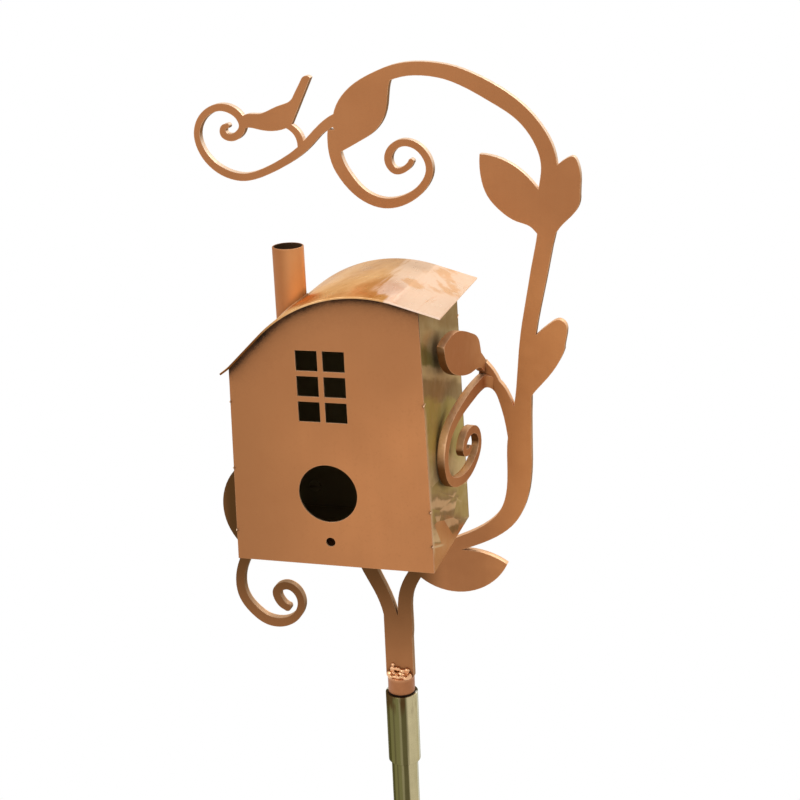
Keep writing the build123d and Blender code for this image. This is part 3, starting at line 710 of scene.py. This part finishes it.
def wall_finish(name, bands, rim, inside=None, seam=0.0):
    """Makes a polished wall from bands of (height in mm, colour), dull past a point and its inward way."""
    finish, tree = start_finish(name)
    stops = [(height * MM / WALL_TOP, band) for height, band in bands]
    base = colour_bands(tree, mirrored_height(tree), stops)
    smears = noise_at(tree, stretched(tree, (1, 4, 1), (0.15, 0, 0)), 110.0, detail=3.0, roughness=0.5)
    smeared = maths(tree, "MULTIPLY", smooth_step(tree, smears, 0.54, 0.66), SMEAR_SHARE)
    layers = [(smeared, mix_colour(tree, 0.5, base, WALL_SMEAR), 0.3)]
    if seam:
        layers.append((maths(tree, "MULTIPLY", seam_mask(tree), seam), SEAM_SOLDER, 0.35))
    if inside:
        layers.append((depth_mask(tree, *inside), DARK_INSIDE, DULL))
    metal(
        tree,
        base=base,
        tarnished=mix_colour(tree, 0.3, base, WALL_STAIN),
        bright=colour(226, 196, 150),
        gloss=(0.30, 0.44),
        metallic=0.7,
        rim=rim,
        scale=11.0,
        wear_and_highlight_radius=0.7 * MM,
        grain=0.08,
        layers=layers,
        swell=swelling(tree, scale=30.0, depth=1.0 * MM),
    )
    return finish


# %% Right wall
BATTER = radians(1.4)
right_low, right_high = (Vector(corner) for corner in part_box("right_wall"))
right_mid = (right_high.x - SHEET / 2, 0, right_low.z)
PALE, KHAKI, GREEN, LICHEN, MOSS, UMBER, ROSE, COPPERY = (
    colour(194, 168, 120),
    colour(216, 186, 134),
    colour(184, 162, 86),
    colour(180, 152, 90),
    colour(140, 124, 60),
    colour(158, 124, 80),
    colour(230, 190, 144),
    colour(212, 146, 94),
)
WALL_BANDS = [
    (0, COPPERY), (27, COPPERY), (30, UMBER), (33, UMBER), (35, ROSE), (39, ROSE),
    (41, UMBER), (44, LICHEN), (52, LICHEN), (56, KHAKI), (74, KHAKI), (84, GREEN),
    (113, GREEN), (116, UMBER), (126, UMBER), (130, KHAKI), (135, KHAKI), (138, MOSS),
    (143, MOSS), (148, PALE), (157, PALE), (165, UMBER), (210, UMBER),
]
right_finish = wall_finish(
    "polished_right_wall",
    WALL_BANDS,
    rim=(0.55, 0.46, 0.28, 1),
    inside=(right_mid, (-cos(BATTER), 0, -sin(BATTER))),
    seam=0.75,
)
dress(right_finish, "right_wall")
print("right wall:", right_finish.name)

# %% Left wall, back, floor and hatch cover
left_low, _ = (Vector(corner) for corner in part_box("left_wall"))
floor_low, _ = (Vector(corner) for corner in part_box("floor_panel"))
left_mid = (left_low.x + SHEET / 2, 0, left_low.z)
# The other sheets get calmer painted reflection bands.
PLAIN, PLAIN_DARK = colour(200, 136, 90), colour(182, 120, 76)
PLAIN_BANDS = [(0, PLAIN), (30, PLAIN_DARK), (60, PLAIN), (110, PLAIN_DARK), (150, PLAIN)]
PLAIN_RIM = (0.90, 0.66, 0.46, 1)
for name, part, inside in (
    ("polished_left_wall", "left_wall", (left_mid, (cos(BATTER), 0, -sin(BATTER)))),
    ("polished_back", "back_panel", ((0, back_high.y - SHEET / 2, 0), (0, -1, 0))),
    ("polished_base", "floor_panel", ((0, 0, floor_low.z + SHEET / 2), (0, 0, 1))),
    ("polished_cover", "hatch_cover", None),
):
    dress(wall_finish(name, PLAIN_BANDS, PLAIN_RIM, inside), part)
    print("finished:", part)

# %% [markdown]
# ## The roof
#
# The roof is the glossiest sheet, and its reflections are painted. The left slope has a patchy golden
# painted reflection with paler streaks. The right one has a pale pink painted reflection, with a few stains
# from handling, and a streaky border lies between them just past the crown. A gradient across the roof with
# a streaky edge makes that border; a straight one would look printed. The rim at the left of the front
# carries painted shade.

# %% Roof finish
BORDER_RAGGED, BORDER_TAIL = 0.03, -0.012
roof_finish, tree = start_finish("glossy_roof_copper")
x, y, _ = axes_of(tree)
_, normal_y, normal_z = axes_of(tree, "Normal")
wisps = noise_at(tree, stretched(tree, (1, 9, 1), (0, 0, -0.08)), 240.0, detail=5.0, roughness=0.65)
patches = noise_at(tree, stretched(tree, (1, 3, 1), (0, 0, -0.3)), 55.0, detail=5.0, roughness=0.6)
handled = noise_at(tree, stretched(tree, (1, 2, 1), (0, 0, 0.6)), 48.0, detail=4.0, roughness=0.6)
front_tail = maths(tree, "MULTIPLY", smooth_step(tree, y, house_front + 0.018, house_front), BORDER_TAIL)
border = maths(tree, "ADD", maths(tree, "ADD", x, wobble(tree, wisps, BORDER_RAGGED)), front_tail)
# Painted reflection: golden on the left, pale pink on the right.
pink_reflection_side = smooth_step(tree, border, house_x + 0.026, house_x + 0.034)
patchy = smooth_step(tree, patches, 0.35, 0.65)
golden_reflection = mix_colour(tree, patchy, colour(210, 150, 80), colour(244, 196, 136))
pale_streaks = maths(tree, "MULTIPLY", smooth_step(tree, wisps, 0.6, 0.72), 0.4)
golden_reflection = mix_colour(tree, pale_streaks, golden_reflection, colour(252, 218, 172))
wispy = smooth_step(tree, wisps, 0.56, 0.72)
pink_reflection = mix_colour(tree, wispy, colour(252, 226, 206), colour(243, 200, 170))
pink_reflection = mix_colour(tree, smooth_step(tree, handled, 0.55, 0.64), pink_reflection, colour(236, 188, 146))
on_the_left = smooth_step(tree, x, house_x - 0.022, house_x - 0.045)
# Painted shade on the roof's front rim at the left.
left_rim_shade = all_of(tree, on_the_left, smooth_step(tree, normal_y, -0.4, -0.8))
inside_roof = all_of(
    tree,
    smooth_step(tree, normal_z, 0.0, -0.2),
    smooth_step(tree, y, house_front + 0.6 * MM, house_front + 1.2 * MM),
    smooth_step(tree, distance(tree, x, house_x), 0.064, 0.061),
)
metal(
    tree,
    base=mix_colour(tree, pink_reflection_side, golden_reflection, pink_reflection),
    tarnished=mix_colour(tree, pink_reflection_side, colour(208, 152, 92), colour(238, 190, 154)),
    # On the left the rubbed edges get painted shade instead of a highlight.
    bright=mix_colour(tree, on_the_left, colour(252, 214, 184), colour(112, 74, 40)),
    gloss=(0.26, 0.38),
    rim=(0.97, 0.82, 0.64, 1),
    scale=12.0,
    wear_and_highlight_radius=0.9 * MM,
    grain=0.06,
    cloudiness=0.3,
    layers=[(inside_roof, DARK_INSIDE, DULL), (left_rim_shade, colour(120, 74, 34), 0.6)],
    swell=swelling(tree, scale=26.0, depth=0.6 * MM),
)
dress(roof_finish, "roof_sheet")
print("roof finish:", len(tree.nodes), "nodes")

# %% [markdown]
# ## Chimney
#
# The chimney is a cut length of tube with drawing lines along it, painted lighter on its right as painted
# light. Soot would be a story too much for a bird house, but its inside sees no light and no polish, so it
# is dull and painted dark as shade.
# That inside could be a second material slot; the distance from the tube's axis tells it apart as well.


# %% Chimney finish
def from_axis(tree, axis_x=0.0, axis_y=0.0):
    """Gives the distance of the surface from an upright axis."""
    x, y, _ = axes_of(tree)
    squares = []
    for value, middle in ((x, axis_x), (y, axis_y)):
        squares.append(maths(tree, "POWER", maths(tree, "SUBTRACT", value, middle), 2.0))
    return maths(tree, "SQRT", maths(tree, "ADD", *squares))


CHIMNEY_WALL = 1.5 * MM
chimney_middle = (chimney_low + chimney_high) / 2
wall_middle = (chimney_high.x - chimney_low.x - CHIMNEY_WALL) / 2
chimney_finish, tree = start_finish("drawn_chimney_copper")
radius = from_axis(tree, chimney_middle.x, chimney_middle.y)
facing_right, _, _ = axes_of(tree, "Normal")
# Painted light on the chimney's right side.
lit_side = smooth_step(tree, facing_right, -0.3, 0.9)
metal(
    tree,
    base=mix_colour(tree, lit_side, colour(180, 117, 70), colour(242, 176, 118)),
    tarnished=mix_colour(tree, lit_side, colour(166, 106, 62), colour(226, 160, 104)),
    bright=colour(246, 204, 166),
    gloss=(0.42, 0.54),
    metallic=0.45,
    rim=(0.9, 0.62, 0.40, 1),
    scale=16.0,
    lines=420.0,
    # Painted shade inside the chimney.
    layers=[(smooth_step(tree, radius, wall_middle, wall_middle - 0.3 * MM), colour(74, 52, 34), DULL)],
)
dress(chimney_finish, "chimney_tube")
print("chimney finish:", len(tree.nodes), "nodes")

# %% [markdown]
# ## Solder, brass, weld and plug
#
# Solder is paler than the copper and smooth, and the weld is the brightest metal of all, because it was
# melted last. The fasteners are plain brass. The screws' heads stand inside the house and are as dull as
# its walls there, so they take a second brass finish with a step at the back panel. The plug gets a ring of
# painted shade where it enters its socket, and is warm under the weld.

# %% Solder, brass and weld finishes
solder_finish, tree = start_finish("soft_solder")
metal(
    tree,
    base=colour(232, 190, 150),
    tarnished=colour(206, 160, 118),
    bright=colour(246, 224, 198),
    gloss=(0.28, 0.46),
    metallic=0.6,
    scale=60.0,
    dirt_and_shade_share=0.1,
)
weld_finish, tree = start_finish("bright_weld")
metal(
    tree,
    base=colour(238, 188, 144),
    tarnished=colour(202, 144, 100),
    bright=colour(255, 236, 214),
    gloss=(0.16, 0.30),
    scale=70.0,
    wear_and_highlight_radius=0.5 * MM,
    grain=0.15,
    dirt_and_shade_share=0.3,
    nook=2 * MM,
)
BRASS = {
    "base": colour(190, 150, 88),
    "tarnished": colour(148, 110, 58),
    "bright": colour(232, 204, 150),
    "gloss": (0.26, 0.42),
    "metallic": 0.6,
    "scale": 50.0,
    "wear_and_highlight_radius": 0.4 * MM,
}
brass_finish, tree = start_finish("plain_brass")
metal(tree, **BRASS)
screw_finish, tree = start_finish("brass_dull_inside")
metal(tree, **BRASS, layers=[(depth_mask(tree, (0, back_low.y, 0), (0, -1, 0)), DARK_INSIDE, DULL)])
dress(solder_finish, "chimney_solder")
dress(weld_finish, "stem_weld")
dress(brass_finish, "hatch_rivet", "house_washers", "house_nuts")
dress(screw_finish, "house_screws")
print("small metal finished")

# %% Plug finish
plug_finish, tree = start_finish("satin_plug_copper")
_, _, z = axes_of(tree)
ragged_line = noise_at(tree, stretched(tree, (1, 1, 0.2)), 240.0, detail=3.0, roughness=0.6)
uneven_z = maths(tree, "ADD", z, wobble(tree, ragged_line, 0.8 * MM))
# A ring of painted shade where the plug enters the collar.
socket_shade = smooth_step(tree, uneven_z, collar_high.z + 1.6 * MM, collar_high.z + 0.7 * MM)
warm_top = smooth_step(tree, z, weld_low.z - 3.0 * MM, weld_low.z + 1.0 * MM)
metal(
    tree,
    base=colour(182, 120, 78),
    tarnished=colour(154, 98, 60),
    bright=colour(224, 168, 128),
    gloss=(0.34, 0.48),
    metallic=0.8,
    scale=40.0,
    layers=[(socket_shade, colour(40, 24, 16), 0.7), (warm_top, colour(206, 146, 104), 0.3)],
)
dress(plug_finish, "stem_plug")
print("plug finish:", len(tree.nodes), "nodes")

# %% [markdown]
# ## Drawn steel pole
#
# The tubes are bright drawn steel that has stood in the open. Drawing leaves straight lines along them,
# and painted reflections follow those lines as silver, olive and brown bands. Bands round the tube are a
# function of the angle about its axis; stretched noise then breaks them up along their length. The spike
# was turned on a lathe, so its marks run round it, and soil clings to it in patches.

# %% Bands round a tube
# Colours of the painted reflections round the tubes.
SILVER, PALE_STEEL, KHAKI_STEEL, OLIVE_STEEL, BROWN_STEEL, DARK_STEEL = (
    colour(255, 253, 238),
    colour(208, 194, 152),
    colour(138, 130, 92),
    colour(112, 108, 64),
    colour(78, 71, 40),
    colour(44, 44, 20),
)
HALF_TURN_REFLECTIONS = [
    (0.000, DARK_STEEL), (0.094, DARK_STEEL), (0.108, OLIVE_STEEL), (0.142, OLIVE_STEEL),
    (0.154, BROWN_STEEL), (0.174, OLIVE_STEEL), (0.206, OLIVE_STEEL), (0.216, KHAKI_STEEL),
    (0.230, KHAKI_STEEL), (0.241, BROWN_STEEL), (0.284, BROWN_STEEL), (0.300, PALE_STEEL),
    (0.425, PALE_STEEL), (0.442, SILVER), (0.465, SILVER),
]
FIRST_BAND = 0.045
TUBE_REFLECTIONS = [(FIRST_BAND + half + share, band) for half in (0, 0.5) for share, band in HALF_TURN_REFLECTIONS]
BAND_RAGGED = 0.03


def reflection_banded_tube(tree):
    """Gives the steel's painted reflections in upright bands round the Z axis, from the share of a turn."""
    x, y, _ = axes_of(tree)
    share_of_turn = maths(tree, "MULTIPLY_ADD", maths(tree, "ARCTAN2", y, x), 1 / tau, 0.5)
    fine = noise_at(tree, stretched(tree, (1, 1, 50)), 420.0, detail=4.0, roughness=0.6)
    ragged = maths(tree, "ADD", share_of_turn, wobble(tree, fine, BAND_RAGGED))
    return colour_bands(tree, ragged, TUBE_REFLECTIONS)


print("bands round a tube:", len(TUBE_REFLECTIONS))


# %% Pole finish
def tube_finish(name, inner_radius, stain_top=None):
    """Makes the drawn steel finish for a tube on the Z axis, with painted shade in its bore, stained below
    a rim.
    """
    finish, tree = start_finish(name)
    bore_shade = smooth_step(tree, from_axis(tree), inner_radius + 0.3 * MM, inner_radius)
    # Painted shade inside the bore.
    layers = [(bore_shade, colour(38, 33, 24), 0.8)]
    if stain_top is not None:
        _, _, z = axes_of(tree)
        runs = noise_at(tree, stretched(tree, (1, 1, 6)), 170.0, detail=3.0, roughness=0.55)
        drip = smooth_step(tree, z, stain_top - 18 * MM, stain_top - 4 * MM)
        rust = all_of(tree, drip, smooth_step(tree, runs, 0.46, 0.58), 0.85)
        layers.append((rust, colour(84, 58, 32), 0.6))
    metal(
        tree,
        base=reflection_banded_tube(tree),
        tarnished=colour(112, 104, 68),
        bright=colour(246, 242, 228),
        gloss=(0.16, 0.32),
        rim=(0.62, 0.60, 0.48, 1),
        scale=24.0,
        lines=700.0,
        wear_and_highlight_radius=0.6 * MM,
        grain=0.1,
        cloudiness=0.25,
        layers=layers,
    )
    return finish


_, pole_high = (Vector(corner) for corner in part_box("upper_pole"))
POLE_RADIUS = pole_high.x
POLE_WALL = 1.5 * MM
pole_finish = tube_finish("drawn_pole_steel", POLE_RADIUS - POLE_WALL)
collar_finish = tube_finish("drawn_collar_steel", POLE_RADIUS, collar_high.z)
dress(pole_finish, "upper_pole", "lower_pole")
dress(collar_finish, "upper_collar", "lower_collar")
print("pole radius", round(POLE_RADIUS / MM, 2), "mm")

# %% Spike finish
spike_finish, tree = start_finish("turned_spike_steel")
turning_marks = noise_at(tree, stretched(tree, (50, 50, 1)), 1400.0, detail=3.0, roughness=0.6)
soil = noise_at(tree, place_of(tree), 90.0, detail=5.0, roughness=0.65)
metal(
    tree,
    base=mix_colour(tree, turning_marks, colour(126, 120, 108), colour(164, 158, 144)),
    tarnished=colour(104, 90, 68),
    bright=colour(206, 202, 190),
    gloss=(0.30, 0.48),
    scale=40.0,
    layers=[(maths(tree, "MULTIPLY", smooth_step(tree, soil, 0.5, 0.7), 0.6), colour(74, 54, 36), 0.8)],
)
dress(spike_finish, "ground_spike")
print("spike finish:", len(tree.nodes), "nodes")

# %% [markdown]
# ## Softened edges
#
# The frame's edges are knife sharp, and a real cut edge is not: a file or a tumbler takes a few tenths of
# a millimetre off it, and that narrow round is what catches the light. Bevelling by hand would mean
# a new mesh for every part. Modifiers on the parts keep their own meshes as they are: one joins the
# loose triangles, one takes the triangles out of flat faces, and one rounds the edges that are left.

# %% Softened edges
PLATE_ROUND, SHEET_ROUND = 0.5 * MM, 0.2 * MM


def soften(name, width):
    """Rounds a CAD part's sharp edges with modifiers."""
    part = nodes_by_name[name]
    join = part.modifiers.new("join_triangles", "WELD")
    join.merge_threshold = 0.002 * MM
    flat = part.modifiers.new("flat_faces", "DECIMATE")
    flat.decimate_type = "DISSOLVE"
    flat.angle_limit = radians(0.5)
    edge_round = part.modifiers.new("round_edges", "BEVEL")
    edge_round.limit_method = "ANGLE"
    edge_round.angle_limit = radians(40)
    edge_round.width = width
    edge_round.segments = 2
    edge_round.use_clamp_overlap = True
    edge_round.harden_normals = True


soften("scroll_plate", PLATE_ROUND)
for name in (
    "front_panel", "back_panel", "left_wall", "right_wall", "floor_panel", "roof_sheet", "hatch_cover",
    "house_nuts", "house_washers",
):
    soften(name, SHEET_ROUND)
print("softened:", sum(bool(part.modifiers) for part in nodes_by_name.values()), "parts")

# %% [markdown]
# ## The weld under the stem
#
# A hand weld is rows of puddles that froze one over the other. The drawing has a plain fillet there. Each
# puddle starts as a small ball, squashed and set along the joint: a main row, a low one in front that
# covers the plug's top, a few higher up on the stem and one spatter. A remesh melts them into one skin,
# and a smooth and a fine displacement give the frozen ripples. The bead behind the stem is a copy,
# turned about the pole's axis.


# %% Helpers for melted metal
def select_only(piece):
    """Selects one piece alone and makes it the active one."""
    deselect_all()
    piece.select_set(True)
    bpy.context.view_layer.objects.active = piece


def fix_place():
    """Puts the selected piece's place, turn and size into its mesh."""
    bpy.ops.object.transform_apply(location=True, rotation=True, scale=True)


def copy_of(piece):
    """Copies a piece with a mesh of its own and leaves the copy selected."""
    select_only(piece)
    bpy.ops.object.duplicate()
    return bpy.context.object


def add_puddle(place, radius, squash):
    """Adds one squashed ball of metal and returns it."""
    deselect_all()
    bpy.ops.mesh.primitive_ico_sphere_add(subdivisions=3, radius=radius, location=place)
    puddle = bpy.context.object
    puddle.scale = squash
    fix_place()
    return puddle


def join_pieces(pieces, name):
    """Joins pieces into one mesh with the given name."""
    select_only(pieces[0])
    for piece in pieces[1:]:
        piece.select_set(True)
    bpy.ops.object.join()
    pieces[0].name = name
    return pieces[0]


def apply_modifier(piece, kind, **settings):
    """Adds a modifier with its settings and applies it."""
    select_only(piece)
    modifier = piece.modifiers.new(kind.lower(), kind)
    for label, value in settings.items():
        setattr(modifier, label, value)
    bpy.ops.object.modifier_apply(modifier=modifier.name)


def melt(piece, voxel, ripple, ripple_size):
    """Melts joined balls into one skin with fine frozen ripples."""
    apply_modifier(piece, "REMESH", mode="VOXEL", voxel_size=voxel)
    apply_modifier(piece, "SMOOTH", factor=0.5, iterations=5)
    clouds = bpy.data.textures.new(piece.name + "_ripples", "CLOUDS")
    clouds.noise_scale = ripple_size
    apply_modifier(piece, "DISPLACE", texture=clouds, strength=ripple, mid_level=0.5,
                   texture_coords="LOCAL")
    bpy.ops.object.shade_smooth()


# %% Weld puddles
MAIN_ROW, FRONT_ROW, UPPER_ROW = -4.2 * MM, -5.8 * MM, -3.0 * MM
foot = weld_low.z
puddles = []
for number in range(6):
    across = (-6.8 + 2.7 * number) * MM
    wander = 0.6 * MM * sin(2.4 * number)
    size = (2.1 + 0.45 * sin(2.9 * number + 0.8)) * MM
    puddles.append(add_puddle((across, MAIN_ROW, foot + 1.5 * MM + wander), size, (1.05, 0.95, 1.1)))
for number in range(5):
    across = (-5.4 + 2.8 * number + 0.5 * sin(2.7 * number)) * MM
    size = (2.2 + 0.4 * sin(3.3 * number + 0.5)) * MM
    puddles.append(add_puddle((across, FRONT_ROW, foot + 0.7 * MM), size, (1.15, 1.1, 0.85)))
for number, across in enumerate((-5.0, -1.5, 1.9, 5.4)):
    rise = (4.9 + 0.8 * sin(1.9 * number + 0.6)) * MM
    puddles.append(add_puddle((across * MM, UPPER_ROW, foot + rise), 2.0 * MM, (1.05, 0.8, 0.9)))
puddles.append(add_puddle((-4.8 * MM, -2.6 * MM, foot + 8.4 * MM), 1.4 * MM, (1.1, 0.8, 0.9)))
print("puddles:", len(puddles))

# %% Weld beads
front_bead = join_pieces(puddles, "front_bead")
melt(front_bead, voxel=0.26 * MM, ripple=0.6 * MM, ripple_size=2.6 * MM)
back_bead = copy_of(front_bead)
bpy.ops.transform.rotate(value=pi, orient_axis="Z", center_override=(0, 0, 0))
fix_place()
weld_beads = join_pieces([front_bead, back_bead], "weld_beads")
weld_beads.data.materials.append(weld_finish)
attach(weld_beads, "head")
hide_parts("stem_weld")
print("weld beads:", len(weld_beads.data.polygons), "faces")

# %% [markdown]
# ## Solder tacks on the house's corners
#
# The sheets are held edge to edge by small tacks of solder, three to a corner. One tack is modelled as
# two little puddles that ran together, and copied to each place. The walls lean in as they rise, so a
# tack's distance from the middle of the house follows its height.

# %% Solder tacks
TACK_SET_BACK = 1.0 * MM
FRONT_TACKS, BACK_TACKS = house_front + TACK_SET_BACK, house_back - TACK_SET_BACK
first_tack = join_pieces(
    [
        add_puddle((0, -0.6 * MM, 0), 1.1 * MM, (0.5, 1.3, 0.6)),
        add_puddle((0, 1.0 * MM, 0.1 * MM), 0.9 * MM, (0.5, 1.4, 0.5)),
    ],
    "tack_pattern",
)
melt(first_tack, voxel=0.14 * MM, ripple=0.15 * MM, ripple_size=0.8 * MM)
first_tack.data.materials.append(solder_finish)
tack_count = 0
for corner_name, wall_sign, depth, rises in (
    ("front_right", 1, FRONT_TACKS, (FOOT_TACK_RISE, 0.0405, 0.110)),
    ("front_left", -1, FRONT_TACKS, (0.020, 0.062, 0.106)),
    ("back_right", 1, BACK_TACKS, (0.026, 0.080, 0.140)),
    ("back_left", -1, BACK_TACKS, (0.022, 0.060, 0.104)),
):
    for number, rise in enumerate(rises):
        half_width = (front_high.x - front_low.x) / 2 - rise * sin(BATTER)
        tack = copy_of(first_tack)
        tack.name = f"tack_{corner_name}_{number + 1}"
        tilt = 0.3 * sin(1.7 * number + wall_sign)
        bpy.ops.transform.rotate(value=tilt, orient_axis="X", center_override=(0, 0, 0))
        bpy.ops.transform.translate(value=(house_x + wall_sign * half_width, depth, house_z + rise))
        fix_place()
        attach(tack, "head")
        tack_count += 1
bpy.data.objects.remove(first_tack)
print("solder tacks:", tack_count)
